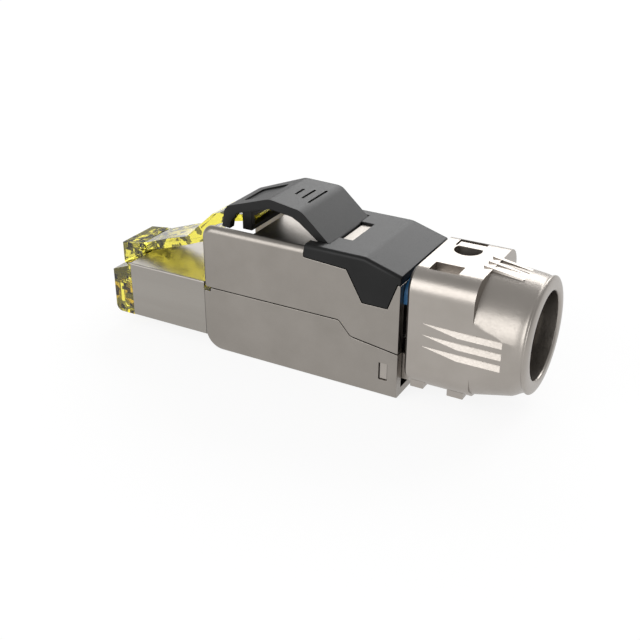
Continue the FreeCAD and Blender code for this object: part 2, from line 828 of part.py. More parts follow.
def make_contacts():
    """Eight gold blades side by side at the bottom front of the nose."""
    tread = s.contact_base
    lead = tread + s.contact_height
    toe = s.contact_toe
    blade = [
        (-s.contact_front, tread + toe),
        (toe - s.contact_front, tread),
        (-s.contact_rear - toe, tread),
        (-s.contact_rear, tread + toe),
        (-s.contact_rear, lead - s.contact_lead),
        (s.contact_lead_length - s.contact_rear, lead - s.contact_lead),
        (s.contact_lead_length - s.contact_rear, lead),
        (-s.contact_front, lead),
    ]
    for number in range(8):
        body = new_body(f"contact_{number + 1}")
        place = s.contact_pitch * (number - 3.5)
        pad(outline(body, "XZ_Plane", blade, -place), s.contact_thickness)


def make_circuit_board():
    """Board that joins the contacts to the fork terminals."""
    body = new_body("circuit_board")
    board = rectangle(body, "XZ_Plane", (-s.board_front, s.board_base),
                      (s.board_rear, s.board_base + s.board_thickness))
    pad(board, board_width)
    return body


def terminal_place(number):
    """Sideways place and height of one fork terminal: four below the board, four above."""
    row = s.upper_row if number >= 4 else s.lower_row
    return terminal_pitch * (number % 4 - 1.5), row


def make_idc_block():
    """Moulded block that holds the eight fork terminals in two rows."""
    body = new_body("idc_block")
    back = s.block_front + s.block_length
    solid = pad(rectangle(body, "XZ_Plane", (s.block_front, s.block_base), (back, s.block_top)), block_width)
    edges = straight_edges(solid, "z", {"x": s.block_front, "y": block_width / 2})
    chamfer(solid, edges, terminal_pitch / 4)
    slot = rectangle(body, "XZ_Plane", (0, s.board_base - s.board_fit),
                     (s.board_rear + s.board_fit, s.board_base + s.board_thickness + s.board_fit))
    pocket(slot, far)
    half_thick = s.terminal_thickness / 2 + s.terminal_fit
    half_high = s.terminal_height / 2 + s.terminal_fit
    seats = []
    legs = []
    for number in range(8):
        side, row = terminal_place(number)
        seats.append(((side - half_thick, row - half_high), (side + half_thick, row + half_high)))
    for number in range(4):
        side, row = terminal_place(number)
        legs.append(((side - half_thick, row - half_high), (side + half_thick, s.upper_row + half_high)))
    pocket(rectangles(body, "YZ_Plane", seats, back), s.terminal_root + s.terminal_fit, "One side")
    pocket(rectangles(body, "YZ_Plane", legs, back - s.terminal_root / 2),
           s.terminal_root / 2 + s.terminal_leg + s.terminal_fit, "One side")
    return body


def make_idc_terminals():
    """Eight flat forks that cut through the wires' insulation."""
    back = s.block_front + s.block_length
    board_top = s.board_base + s.board_thickness
    tip = back + s.terminal_reach
    base = back - s.terminal_root
    half = s.terminal_height / 2
    slit = s.terminal_mouth / 2
    flare = s.terminal_flare
    for number in range(8):
        side, row = terminal_place(number)
        body = new_body(f"idc_terminal_{number + 1}")
        fork = [
            (base, row - half),
            (tip - flare, row - half),
            (tip, row - 2 * slit),
            (tip - flare, row - slit),
            (back + flare, row - slit),
            (back + flare, row + slit),
            (tip - flare, row + slit),
            (tip, row + 2 * slit),
            (tip - flare, row + half),
            (base, row + half),
        ]
        pad(outline(body, "XZ_Plane", fork, -side), s.terminal_thickness)
        low, high = (board_top, row + half) if number >= 4 else (row - half, s.board_base)
        leg = rectangle(body, "XZ_Plane", (base - s.terminal_leg, low), (base, high), -side)
        pad(leg, s.terminal_thickness)


def make_wire_manager():
    """Blue bar that lays the eight wires in place and presses them into the forks."""
    body = new_body("wire_manager")
    middle = (s.manager_base + s.manager_top) / 2
    rear = s.housing_length + s.flange_gap
    flange_half = half_width - s.manager_flange_inset
    bar = rectangle(body, "XZ_Plane", (s.manager_front, s.manager_base), (rear, s.manager_top))
    solid = pad(bar, manager_width)
    chamfer(solid, straight_edges(solid, "x", {"y": manager_width / 2}), s.manager_bevel)
    flange = rectangle(body, "XZ_Plane", (rear, s.manager_flange_base),
                       (rear + s.manager_flange, s.manager_flange_top))
    solid = pad(flange, 2 * flange_half)
    corners = straight_edges(solid, "x", {"y": flange_half, "z": s.manager_flange_top})
    fillet(solid, corners, s.manager_flange_round)
    pad(rectangle(body, "XZ_Plane", (rear, s.manager_base + s.manager_bevel),
                  (rear + s.manager_flange, s.manager_flange_base)), manager_width - s.manager_bevel)
    half_thick = s.terminal_thickness / 2 + 2 * s.terminal_fit
    half_high = s.terminal_height / 2 + 2 * s.terminal_fit
    seats = []
    for number in range(8):
        side, row = terminal_place(number)
        seats.append(((side - half_thick, row - half_high), (side + half_thick, row + half_high)))
    slots = rectangles(body, "YZ_Plane", seats, s.manager_front)
    slot_depth = s.block_front + s.block_length + s.terminal_reach - s.manager_front + s.terminal_mouth
    pocket(slots, slot_depth, "One side", backwards=True)
    grooves = []
    wire_x = s.manager_front + slot_depth / 2
    half_wire = s.wire_hole / 2
    for number in range(4):
        side, row = terminal_place(number)
        grooves.append(((wire_x - half_wire, side - half_wire), (wire_x + half_wire, side + half_wire)))
    pocket(rectangles(body, "XY_Plane", grooves), far)
    cross = s.cross_thickness / 2 + s.cross_fit
    cross_front = rear - s.cross_length - s.cross_fit
    level = rectangle(body, "XZ_Plane", (cross_front, middle - cross), (far, middle + cross))
    pocket(level, far)
    upright = rectangle(body, "XY_Plane", (cross_front, -cross), (far, cross))
    pocket(upright, far)
    reach = manager_width / 4
    holes = [(side * reach, middle + lift * reach) for side in (-1, 1) for lift in (-1, 1)]
    pairs = circles(body, "YZ_Plane", holes, reach - s.pair_wall, rear + s.manager_flange)
    pocket(pairs, s.manager_flange + s.cross_length + s.pair_lead, "One side")
    return body


def make_pair_separator():
    """Metal cross that keeps the four wire pairs apart."""
    body = new_body("pair_separator")
    middle = (s.manager_base + s.manager_top) / 2
    start = s.housing_length + s.flange_gap - s.cross_length
    half = s.cross_thickness / 2
    wide = manager_width / 2 - s.cross_fit
    high = (s.manager_top - s.manager_base) / 2 - s.cross_fit
    level = rectangle(body, "YZ_Plane", (-wide, middle - half), (wide, middle + half), start)
    pad(level, s.cross_length, "One side")
    upright = rectangle(body, "YZ_Plane", (-half, middle - high), (half, middle + high), start)
    pad(upright, s.cross_length, "One side")
    return body


def collar_section(body, x, radius, base, corner):
    """One cross-section of the collar: round above, and square with rounded corners below."""
    sketch = new_sketch(body, "YZ_Plane", x, s.collar_centre)
    side, drop = half_width.value, s.collar_centre.value - base.value
    bend = corner.value
    seam = math.sqrt(radius.value ** 2 - side ** 2)
    axis = FreeCAD.Vector(0, 0, 1)

    def arc(y, z, size, start, end):
        circle = Part.Circle(FreeCAD.Vector(y, z, 0), axis, size)
        return sketch.addGeometry(Part.ArcOfCircle(circle, math.radians(start), math.radians(end)))

    def line(y, z, far_y, far_z):
        ends = FreeCAD.Vector(y, z, 0), FreeCAD.Vector(far_y, far_z, 0)
        return sketch.addGeometry(Part.LineSegment(*ends))

    opening = math.degrees(math.asin(seam / radius.value))
    crown = arc(0, 0, radius.value, opening, 180 - opening)
    left = line(-side, seam, -side, bend - drop)
    left_bend = arc(bend - side, bend - drop, bend, 180, 270)
    floor = line(bend - side, -drop, side - bend, -drop)
    right_bend = arc(side - bend, bend - drop, bend, 270, 360)
    right = line(side, bend - drop, side, seam)
    joins = [(crown, 2, left, 1), (left, 2, left_bend, 1), (left_bend, 2, floor, 1),
             (floor, 2, right_bend, 1), (right_bend, 2, right, 1), (right, 2, crown, 1)]
    for join in joins:
        sketch.addConstraint(Sketcher.Constraint("Coincident", *join))
    pin(sketch, crown, 3, (0, 0))
    index = sketch.addConstraint(Sketcher.Constraint("Radius", crown, radius.value))
    sketch.setExpression(f"Constraints[{index}]", radius.formula)
    lift = base - s.collar_centre
    pin(sketch, left, 2, (-half_width, lift + corner))
    pin(sketch, right, 1, (half_width, lift + corner))
    pin(sketch, floor, 1, (corner - half_width, lift))
    pin(sketch, floor, 2, (half_width - corner, lift))
    for upright in (left, right):
        sketch.addConstraint(Sketcher.Constraint("Vertical", upright))
    sketch.addConstraint(Sketcher.Constraint("Radius", left_bend, bend))
    sketch.setExpression(f"Constraints[{sketch.ConstraintCount - 1}]", corner.formula)
    sketch.addConstraint(Sketcher.Constraint("Radius", right_bend, bend))
    sketch.setExpression(f"Constraints[{sketch.ConstraintCount - 1}]", corner.formula)
    sketch.Visibility = False
    return sketch


def scoop_section(body, x, top, share):
    """One cross-section of a side scoop: a step in at its top that slopes out to its foot."""
    corners = [
        (half_width, top),
        (half_width - share * s.scoop_depth, top),
        (half_width, top - share * s.scoop_height),
    ]
    sketch = outline(body, "YZ_Plane", corners, x)
    sketch.Visibility = False
    return sketch


def make_rear_cap():
    """Die-cast rear cap: a rounded box that turns into a round cable collar."""
    body = new_body("rear_cap")
    start = s.housing_length + s.cap_gap
    end = start + s.cap_length
    centre = s.collar_centre
    ring_radius = half_width + s.ring_swell
    neck_radius = half_width - s.neck_depth
    shoulder = s.ring_shoulder
    near, deep = 0.13, 0.5
    ring = [
        (s.neck_start - s.neck_depth, 0),
        (s.neck_start - s.neck_depth, neck_radius),
        (s.ring_start, neck_radius),
        (s.ring_start + s.neck_depth, ring_radius),
        (s.ring_end - shoulder, ring_radius),
        (s.ring_end - deep * shoulder, ring_radius - near * shoulder),
        (s.ring_end - near * shoulder, ring_radius - deep * shoulder),
        (s.ring_end, ring_radius - shoulder),
        (s.ring_end, 0),
    ]
    box = rectangle(body, "YZ_Plane", (-half_width, s.cap_base), (half_width, s.cap_top), start)
    solid = pad(box, s.cap_length, "One side")
    middle = start + s.cap_length / 2
    long_edges = straight_edges(solid, "x", {"x": middle, "y": half_width, "z": s.cap_base},
                                {"x": middle, "y": half_width, "z": s.cap_top})
    solid = fillet(solid, long_edges, s.cap_corner)
    rim = [f"Edge{number}" for number, edge in enumerate(solid.Shape.Edges, start=1)
           if all(abs(vertex.Point.x - start.value) < 0.001 for vertex in edge.Vertexes)
           and abs(edge.CenterOfMass.x - start.value) < 0.001]
    chamfer(solid, rim, s.cap_rim_bevel)
    collar = body.newObject("PartDesign::AdditiveLoft", "rear_cap_collar")
    collar.Profile = collar_section(body, end, half_width + s.collar_front_swell, s.cap_base,
                                    s.collar_front_corner)
    collar.Sections = [collar_section(body, s.neck_start, half_width + s.collar_rear_swell,
                                      s.collar_rear_base, s.collar_rear_corner)]
    collar.Ruled = True
    doc.recompute()
    turn("Revolution", outline(body, "XZ_Plane", ring, rise=centre))
    for foot, length in ((s.front_foot, s.front_foot_length), (s.rear_foot, s.rear_foot_length)):
        outer = half_width - s.foot_inset
        blocks = [((foot, s.foot_inner), (foot + length, outer)),
                  ((foot, -outer), (foot + length, -s.foot_inner))]
        pad(rectangles(body, "XY_Plane", blocks, s.foot_bottom), s.cap_wall, "One side")
    for pill in (-s.pill_pitch, 0, s.pill_pitch):
        rib = [
            (s.pill_start, s.cap_top - s.cap_wall),
            (s.pill_end, s.cap_top - s.cap_wall),
            (s.pill_end, s.pill_rear_height),
            (s.pill_start, s.pill_front_height),
        ]
        solid = pad(outline(body, "XZ_Plane", rib, pill), s.pill_width)
    ends = [name for name in straight_edges(solid, "z", {"x": s.pill_start}, {"x": s.pill_end})
            if solid.Shape.getElement(name).CenterOfMass.z > s.cap_top.value - 1]
    fillet(solid, ends, s.pill_round)
    scoops = []
    for number in range(3):
        top = s.scoop_top - number * s.scoop_pitch
        scoop = body.newObject("PartDesign::SubtractiveLoft", "rear_cap_scoop")
        scoop.Profile = scoop_section(body, s.scoop_tip, top, s.scoop_tip_share)
        scoop.Sections = [scoop_section(body, s.scoop_full, top, 1), scoop_section(body, s.scoop_end, top, 1)]
        scoop.Ruled = True
        doc.recompute()
        scoops.append(scoop)
    mirror(*scoops)
    notch = rectangle(body, "XY_Plane", (s.notch_start, s.notch_inner), (s.notch_end, half_width - s.notch_inset),
                      s.cap_top - s.notch_depth)
    mirror(pocket(notch, far, "One side", backwards=True))
    entry_radius = half_width - s.entry_wall
    entry = [
        (start - s.cap_wall, 0),
        (start - s.cap_wall, collar_bore),
        (s.ring_end - s.entry_depth, collar_bore),
        (s.ring_end - s.entry_depth, entry_radius),
        (s.ring_end + s.cap_wall, entry_radius),
        (s.ring_end + s.cap_wall, 0),
    ]
    turn("Groove", outline(body, "XZ_Plane", entry, rise=centre))
    chamber = rectangle(body, "YZ_Plane", (s.cap_wall - half_width, s.cap_base + s.cap_wall),
                        (half_width - s.cap_wall, s.cap_top - s.cap_wall), start)
    pocket(chamber, s.cap_length - s.cap_wall, "One side", backwards=True)
    pocket(circles(body, "XY_Plane", [(s.port_x, s.port_centre)], s.port_radius, s.cap_top - 2 * s.cap_wall),
           far, "One side", backwards=True)
    sill = rectangle(body, "XY_Plane", (s.port_x - s.port_radius, s.port_far_side),
                     (s.port_x + s.port_radius, s.port_centre + s.port_radius + s.cap_wall / 4),
                     s.cap_top - s.cap_wall)
    pad(sill, s.cap_wall, "One side")
    arm_inner = half_width - s.snap_arm_inset
    hook_rear = s.housing_length - s.snap_window_rear - s.hook_fit
    hook_front = hook_rear - s.snap_window_length + 2 * s.hook_fit
    arm = rectangle(body, "YZ_Plane", (arm_inner, s.snap_arm_base),
                    (arm_inner + s.snap_arm_thickness, s.snap_arm_base + s.snap_arm_height), hook_front)
    arm = pad(arm, start + s.snap_arm_root - hook_front, "One side")
    root = rectangle(body, "YZ_Plane", (arm_inner, s.cap_base + s.cap_wall / 2),
                     (half_width - s.cap_wall / 2, s.snap_arm_base + s.snap_arm_height), start + s.cap_wall / 2)
    root = pad(root, s.snap_arm_root - s.cap_wall / 2, "One side")
    hook_low = s.snap_window_base + s.hook_fit
    hook = rectangle(body, "YZ_Plane", (arm_inner, hook_low),
                     (half_width - s.hook_inset, hook_low + s.snap_window_height - 2 * s.hook_fit), hook_front)
    hook = pad(hook, s.snap_window_length - 2 * s.hook_fit, "One side")
    mirror(arm, root, hook)
    return body


def make_cable_clamp():
    """Slotted spring sleeve that grips the cable inside the collar."""
    body = new_body("cable_clamp")
    outer = collar_bore - s.clamp_fit
    inner = outer - s.clamp_thickness
    band_end = s.clamp_start + s.clamp_band
    tip = band_end + s.clamp_finger
    sleeve = [
        (s.clamp_start, inner),
        (s.clamp_start, outer),
        (band_end, outer),
        (tip, s.clamp_throat + s.clamp_thickness),
        (tip, s.clamp_throat),
        (band_end - s.clamp_thickness / 2, inner),
    ]
    turn("Revolution", outline(body, "XZ_Plane", sleeve, rise=s.collar_centre))
    slot = rectangle(body, "XY_Plane", (band_end - s.clamp_band / 2, -s.clamp_slot_width / 2),
                     (far, s.clamp_slot_width / 2), s.collar_centre)
    first = pocket(slot, far, "One side", backwards=True)
    pattern = body.newObject("PartDesign::PolarPattern", "cable_clamp_pattern")
    pattern.Originals = [first]
    pattern.Axis = (body.Group[0], ["H_Axis"])
    pattern.Angle = 360
    pattern.setExpression("Occurrences", "Sizes.clamp_slots")
    body.Tip = pattern
    doc.recompute()
    return body


make_lower_shell()
make_upper_shell()
make_saddle_cover()
make_release_lever()
make_plug_nose()
make_latch_tab()
make_nose_shield()
make_contacts()
make_circuit_board()
make_idc_block()
make_idc_terminals()
make_wire_manager()
make_pair_separator()
make_rear_cap()
make_cable_clamp()

doc.recompute()
for item in doc.Objects:
    if "Invalid" in item.State or "Error" in item.State:
        raise ValueError(f"{item.Label} did not build: {item.State}")

os.makedirs("parts", exist_ok=True)
for part in parts:
    if part.Shape.isNull() or not part.Shape.isValid() or len(part.Shape.Solids) != 1:
        raise ValueError(f"{part.Label} is not one valid solid")
    part.Shape.exportStep(f"parts/{part.Label}.step")
    print(part.Label, round(part.Shape.Volume, 2))
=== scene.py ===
import json
import math

import bmesh
import bpy
from mathutils import Matrix, Vector

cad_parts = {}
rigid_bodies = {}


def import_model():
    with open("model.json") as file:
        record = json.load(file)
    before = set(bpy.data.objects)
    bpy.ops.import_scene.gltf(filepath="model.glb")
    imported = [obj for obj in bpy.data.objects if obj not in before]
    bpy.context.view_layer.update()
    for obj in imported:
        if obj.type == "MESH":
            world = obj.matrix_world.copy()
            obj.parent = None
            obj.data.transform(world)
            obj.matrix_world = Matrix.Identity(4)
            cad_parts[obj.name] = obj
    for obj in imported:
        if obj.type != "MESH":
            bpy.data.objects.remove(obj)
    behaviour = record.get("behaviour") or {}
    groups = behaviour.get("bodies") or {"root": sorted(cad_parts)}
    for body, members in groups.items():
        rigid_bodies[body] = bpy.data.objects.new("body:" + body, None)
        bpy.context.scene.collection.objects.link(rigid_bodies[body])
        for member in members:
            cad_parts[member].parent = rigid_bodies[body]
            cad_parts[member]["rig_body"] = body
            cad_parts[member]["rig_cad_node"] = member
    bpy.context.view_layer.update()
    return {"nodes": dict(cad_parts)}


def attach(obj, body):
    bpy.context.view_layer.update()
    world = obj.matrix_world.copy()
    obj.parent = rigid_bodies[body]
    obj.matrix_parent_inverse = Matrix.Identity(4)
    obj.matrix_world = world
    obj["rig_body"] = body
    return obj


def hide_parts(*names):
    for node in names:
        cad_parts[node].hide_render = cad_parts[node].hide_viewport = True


# A network plug that is fitted to its cable on site, dressed over its CAD frame.
# Lengths are metres in the frame: X towards the cable, Y across, Z up, floor at zero.

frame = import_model()
nodes = frame["nodes"]
bpy.ops.object.select_all(action="DESELECT")

# Housing: two shells die-cast in zinc and nickel plated, satin from tumbling, which part along a
# stepped seam. Each is a copy of its solid, with the small rounds that the die leaves on edges.

MM = 0.001
SHELL_ROUND = 0.09 * MM
ROUND_FROM = math.radians(35)
SHARP_FROM = math.radians(30)
# Corners nearer than this are one, and faces that lean less than this are one flat face
MERGED_WITHIN = 0.002 * MM
LEVEL_WITHIN = math.radians(0.6)
# Noise keeps to the middle of its range: these parts of it are spread over tones and roughness
COARSE_SPAN = (0.3, 0.7)
FINE_SPAN = (0.25, 0.75)
GRAIN_STRENGTH = 0.5


def new_group(name, inputs, outputs):
    """A shader node group with a place and named numbers coming in, and named numbers going out."""
    group = bpy.data.node_groups.new(name, "ShaderNodeTree")
    group.interface.new_socket("Place", in_out="INPUT", socket_type="NodeSocketVector")
    for label in inputs:
        group.interface.new_socket(label, in_out="INPUT", socket_type="NodeSocketFloat")
    for label in outputs:
        group.interface.new_socket(label, in_out="OUTPUT", socket_type="NodeSocketFloat")
    source = group.nodes.new("NodeGroupInput")
    sink = group.nodes.new("NodeGroupOutput")
    return group, source, sink


def add_node(tree, kind, **settings):
    """A node of one kind with its settings; an input takes a value or another node's output."""
    node = tree.nodes.new("ShaderNode" + kind)
    for label, value in settings.items():
        if label not in node.inputs:
            setattr(node, label, value)
        elif isinstance(value, bpy.types.NodeSocket):
            tree.links.new(value, node.inputs[label])
        else:
            node.inputs[label].default_value = value
    return node


def spread(tree, value, span, reach=(0.0, 1.0)):
    """A value whose given span is spread over another reach."""
    node = add_node(tree, "MapRange", **{
        "Value": value, "From Min": span[0], "From Max": span[1], "To Min": reach[0], "To Max": reach[1]})
    return node.outputs["Result"]


def blend(tree, share, first, second):
    """A colour that goes from one to another, each a plain colour or another node's output."""
    node = add_node(tree, "Mix", data_type="RGBA", Factor=share)
    ends = [socket for socket in node.inputs if socket.type == "RGBA"]
    for end, colour in zip(ends, (first, second)):
        if isinstance(colour, bpy.types.NodeSocket):
            tree.links.new(colour, end)
        else:
            end.default_value = (*colour, 1)
    return next(socket for socket in node.outputs if socket.type == "RGBA")


def new_material(name, colour, roughness, metallic=0.0):
    """A material with its shader and the object's own coordinates, ready for its details."""
    material = bpy.data.materials.new(name)
    material.use_nodes = True
    tree = material.node_tree
    shader = tree.nodes["Principled BSDF"]
    shader.inputs["Base Color"].default_value = (*colour, 1)
    shader.inputs["Roughness"].default_value = roughness
    shader.inputs["Metallic"].default_value = metallic
    place = add_node(tree, "TexCoord").outputs["Object"]
    return material, tree, shader, place


# Grain of a surface: Coarse drifts over millimetres, Fine is the tooth that a finger feels.
surface_grain, grain_in, grain_out = new_group(
    "surface_grain", ("Coarse Scale", "Fine Scale"), ("Coarse", "Fine"))
for label, detail, roughness in (("Coarse", 3.0, 0.55), ("Fine", 2.0, 0.6)):
    noise = add_node(surface_grain, "TexNoise", Vector=grain_in.outputs["Place"],
                     Scale=grain_in.outputs[label + " Scale"], Detail=detail, Roughness=roughness)
    surface_grain.links.new(noise.outputs["Fac"], grain_out.inputs[label])


def add_grain(tree, place, shader, coarse, fine, tones, roughness, tooth):
    """Grain on a material: its scales, two tones, a span of roughness and the height of its tooth."""
    grain = add_node(tree, "Group", node_tree=surface_grain, Place=place,
                     **{"Coarse Scale": coarse, "Fine Scale": fine})
    colour = blend(tree, spread(tree, grain.outputs["Coarse"], COARSE_SPAN), *tones)
    tree.links.new(colour, shader.inputs["Base Color"])
    gloss = spread(tree, grain.outputs["Fine"], FINE_SPAN, roughness)
    tree.links.new(gloss, shader.inputs["Roughness"])
    bump = add_node(tree, "Bump", Strength=GRAIN_STRENGTH, Distance=tooth, Height=grain.outputs["Fine"])
    tree.links.new(bump.outputs["Normal"], shader.inputs["Normal"])
    return colour


def apply_modifier(piece, name, kind, **settings):
    """Give a piece one modifier with its settings, and make it part of the mesh."""
    modifier = piece.modifiers.new(name, kind)
    for label, value in settings.items():
        setattr(modifier, label, value)
    bpy.context.view_layer.objects.active = piece
    bpy.ops.object.modifier_apply(modifier=name)


def smooth_shade(piece, sharp_from=SHARP_FROM):
    """Shade a piece smooth but for its sharp edges, and keep its wide flat faces flat."""
    bpy.context.view_layer.objects.active = piece
    bpy.ops.object.mode_set(mode="EDIT")
    bpy.ops.mesh.customdata_custom_splitnormals_clear()
    bpy.ops.mesh.select_mode(type="EDGE")
    bpy.ops.mesh.select_all(action="SELECT")
    bpy.ops.mesh.faces_shade_smooth()
    bpy.ops.mesh.mark_sharp(clear=True)
    bpy.ops.mesh.select_all(action="DESELECT")
    bpy.ops.mesh.edges_select_sharp(sharpness=sharp_from)
    bpy.ops.mesh.mark_sharp()
    bpy.ops.object.mode_set(mode="OBJECT")
    apply_modifier(piece, "flat_faces", "WEIGHTED_NORMAL",
                   mode="FACE_AREA", weight=100, keep_sharp=True)


def merged_copy(node):
    """A copy of a solid with its loose triangles merged into whole faces."""
    piece = nodes[node].copy()
    piece.data = nodes[node].data.copy()
    piece.name = node + "_soft"
    bpy.context.scene.collection.objects.link(piece)
    piece.parent = None
    piece.matrix_world = Matrix.Identity(4)
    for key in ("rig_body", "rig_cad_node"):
        del piece[key]
    bpy.context.view_layer.objects.active = piece
    bpy.ops.object.mode_set(mode="EDIT")
    bpy.ops.mesh.select_all(action="SELECT")
    bpy.ops.mesh.remove_doubles(threshold=MERGED_WITHIN)
    bpy.ops.mesh.dissolve_limited(angle_limit=LEVEL_WITHIN)
    bpy.ops.object.mode_set(mode="OBJECT")
    return piece


def soft_copy(node, width):
    """A copy of a solid whose sharp edges are rounded."""
    piece = merged_copy(node)
    apply_modifier(piece, "soft_edges", "BEVEL", width=width, segments=2, limit_method="ANGLE",
                   angle_limit=ROUND_FROM, use_clamp_overlap=False)
    smooth_shade(piece)
    return piece


def finish_piece(piece, material, body, node):
    """Give a new piece its one material, put it on the body it rides on, and hide the node it stands for.
    """
    piece.data.materials.clear()
    piece.data.materials.append(material)
    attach(piece, body)
    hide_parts(node)


cast_nickel, tree, shader, place = new_material(
    "cast_nickel", colour=(0.29, 0.268, 0.244), roughness=0.36, metallic=1.0)
add_grain(tree, place, shader, coarse=260, fine=5200, roughness=(0.30, 0.42), tooth=0.01 * MM,
          tones=((0.275, 0.254, 0.23), (0.305, 0.282, 0.257)))
for node in ("lower_shell", "upper_shell"):
    finish_piece(soft_copy(node, SHELL_ROUND), cast_nickel, "housing", node)

# Rear cap: cast and plated as the housing, and snapped on once the cable is fitted. Its plating is drawn as
# a lighter copy of the housing's, painted light for the brighter light the cap catches. The collar and the
# rolled lip round the cable hole are one casting, so the lip is drawn out here from the collar's cut end.

COLLAR_HEIGHT = 8.15 * MM
COLLAR_CUT = 23.6 * MM
# With a wider threshold than this, corners near the cut would keep their places off its plane
CUT_THRESHOLD = 0.0001 * MM
SAME_STATION = 0.001 * MM
LIP_SHARP_FROM = math.radians(20)
# Distances from the collar's middle line, for telling its inner and outer rings apart
IN_BORE, IN_WALL, PAST_END_FACE, PAST_COLLAR = 4 * MM, 5.6 * MM, 5.3 * MM, 7 * MM
# Where the tops of the ribs begin along, up and out, and the share of their reach that is left
RIBS_ALONG, RIBS_UP, RIBS_OUT, RIBS_LEFT = 22.3 * MM, 5.5 * MM, 6.38 * MM, 0.96
# The edges of the collar's flat sides are longer than this, and get this many cuts
FLAT_SIDE, FLAT_SIDE_CUTS = 0.4 * MM, 9
# The rings of the lip in millimetres, along and out, and how much of each ring is made round
LIP_OUTSIDE = [
    (23.9, 6.26, 0.3), (24.2, 6.18, 0.6), (24.45, 6.1, 1.0), (24.65, 6.06, 1.0), (24.76, 6.06, 1.0),
    (24.86, 6.09, 1.0), (24.94, 6.14, 1.0), (25.01, 6.17, 1.0), (25.08, 6.16, 1.0),
    (25.15, 6.11, 1.0), (25.21, 6.03, 1.0), (25.265, 5.93, 1.0), (25.315, 5.8, 1.0),
    (25.355, 5.65, 1.0), (25.385, 5.48, 1.0), (25.397, 5.32, 1.0), (25.4, 5.15, 1.0)]
LIP_INSIDE = [
    (25.1, 4.65, 1.0), (25.2, 4.67, 1.0), (25.28, 4.71, 1.0), (25.34, 4.78, 1.0),
    (25.38, 4.87, 1.0), (25.4, 4.98, 1.0)]
LIP_END = LIP_OUTSIDE[-1][0] * MM

# The same plating as the housing, made lighter in tone: painted light.
cap_nickel, tree, shader, place = new_material(
    "cap_nickel", colour=(0.37, 0.342, 0.312), roughness=0.34, metallic=1.0)
add_grain(tree, place, shader, coarse=240, fine=5200, roughness=(0.28, 0.40), tooth=0.01 * MM,
          tones=((0.355, 0.327, 0.297), (0.39, 0.36, 0.33)))


def select_where(piece, kind, chosen):
    """Select a piece's edges by their two ends, or its vertices by their place, in edit mode."""
    bpy.ops.mesh.select_mode(type=kind)
    bpy.ops.mesh.select_all(action="DESELECT")
    mesh = bmesh.from_edit_mesh(piece.data)
    if kind == "EDGE":
        found = [edge for edge in mesh.edges if chosen(*(vertex.co for vertex in edge.verts))]
    else:
        found = [vertex for vertex in mesh.verts if chosen(vertex.co)]
    for part in found:
        part.select_set(True)
    mesh.select_flush_mode()
    bmesh.update_edit_mesh(piece.data)


def away(point):
    """How far a point is from the collar's middle line."""
    return math.hypot(point.y, point.z - COLLAR_HEIGHT)


def ring_at(along, least, most):
    """A test for edges on one station of the collar, between two distances from its middle line."""
    return lambda one, two: all(abs(point.x - along) < SAME_STATION and least < away(point) < most
                                for point in (one, two))


def draw_out(piece, start, along, out, round_share):
    """Extrude the chosen ring of the collar to the next station, rounder and at its own reach."""
    bpy.ops.mesh.extrude_region_move(TRANSFORM_OT_translate={"value": (along - start, 0, 0)})
    middle = (along, 0, COLLAR_HEIGHT)
    bpy.ops.transform.tosphere(value=round_share, center_override=middle)
    reach = [away(vertex.co) for vertex in bmesh.from_edit_mesh(piece.data).verts if vertex.select]
    share = out * len(reach) / sum(reach)
    bpy.ops.transform.resize(value=(1, share, share), center_override=middle)


rear_cap = merged_copy("rear_cap")
bpy.ops.object.mode_set(mode="EDIT")
bpy.ops.mesh.select_all(action="SELECT")
bpy.ops.mesh.bisect(plane_co=(COLLAR_CUT, 0, 0), plane_no=(1, 0, 0), clear_outer=True,
                    threshold=CUT_THRESHOLD)
# The three ribs stay low: their tops come down with the collar towards their rear ends.
select_where(rear_cap, "VERT", lambda point: (
    point.x > RIBS_ALONG and point.z > COLLAR_HEIGHT + RIBS_UP and away(point) > RIBS_OUT))
bpy.ops.transform.resize(value=(1, RIBS_LEFT, RIBS_LEFT), center_override=(COLLAR_CUT, 0, COLLAR_HEIGHT))
# The flat sides of the collar get points of their own, so that they can be made round too.
outer_ring = ring_at(COLLAR_CUT, IN_WALL, PAST_COLLAR)
inner_ring = ring_at(COLLAR_CUT, IN_BORE, IN_WALL)
select_where(rear_cap, "EDGE", lambda one, two: (
    outer_ring(one, two) and (one - two).length > FLAT_SIDE))
bpy.ops.mesh.subdivide(number_cuts=FLAT_SIDE_CUTS)
for ring, stations in ((outer_ring, LIP_OUTSIDE), (inner_ring, LIP_INSIDE)):
    select_where(rear_cap, "EDGE", ring)
    start = COLLAR_CUT
    for along, out, round_share in stations:
        draw_out(rear_cap, start, along * MM, out * MM, round_share)
        start = along * MM
select_where(rear_cap, "EDGE", ring_at(LIP_END, IN_BORE, PAST_END_FACE))
bpy.ops.mesh.fill()
bpy.ops.mesh.select_all(action="SELECT")
bpy.ops.mesh.normals_make_consistent(inside=False)
bpy.ops.object.mode_set(mode="OBJECT")
smooth_shade(rear_cap, LIP_SHARP_FROM)
finish_piece(rear_cap, cap_nickel, "housing", "rear_cap")

# Nose shield: a sleeve of thin plated sheet, folded round the nose, with the faint lines of the
# rolling mill along it.

MILL_STRETCH = (0.08, 1, 1)


def paint(material, *names):
    """Give CAD nodes a material, on the slots of their objects."""
    for name in names:
        for slot in nodes[name].material_slots:
            slot.material = material


shield_sheet, tree, shader, place = new_material(
    "shield_sheet", colour=(0.33, 0.31, 0.285), roughness=0.36, metallic=1.0)
stretched = add_node(tree, "Mapping", Vector=place, Scale=MILL_STRETCH).outputs["Vector"]
add_grain(tree, stretched, shader, coarse=300, fine=9000, roughness=(0.32, 0.42), tooth=0.003 * MM,
          tones=((0.31, 0.29, 0.265), (0.35, 0.33, 0.303)))
paint(shield_sheet, "nose_shield")

# Saddle and lever: moulded in black nylon, with the fine matt tooth of an eroded mould. The lever's
# front facet has a plain sunk panel, and its middle facet has three slim strokes engraved across it.

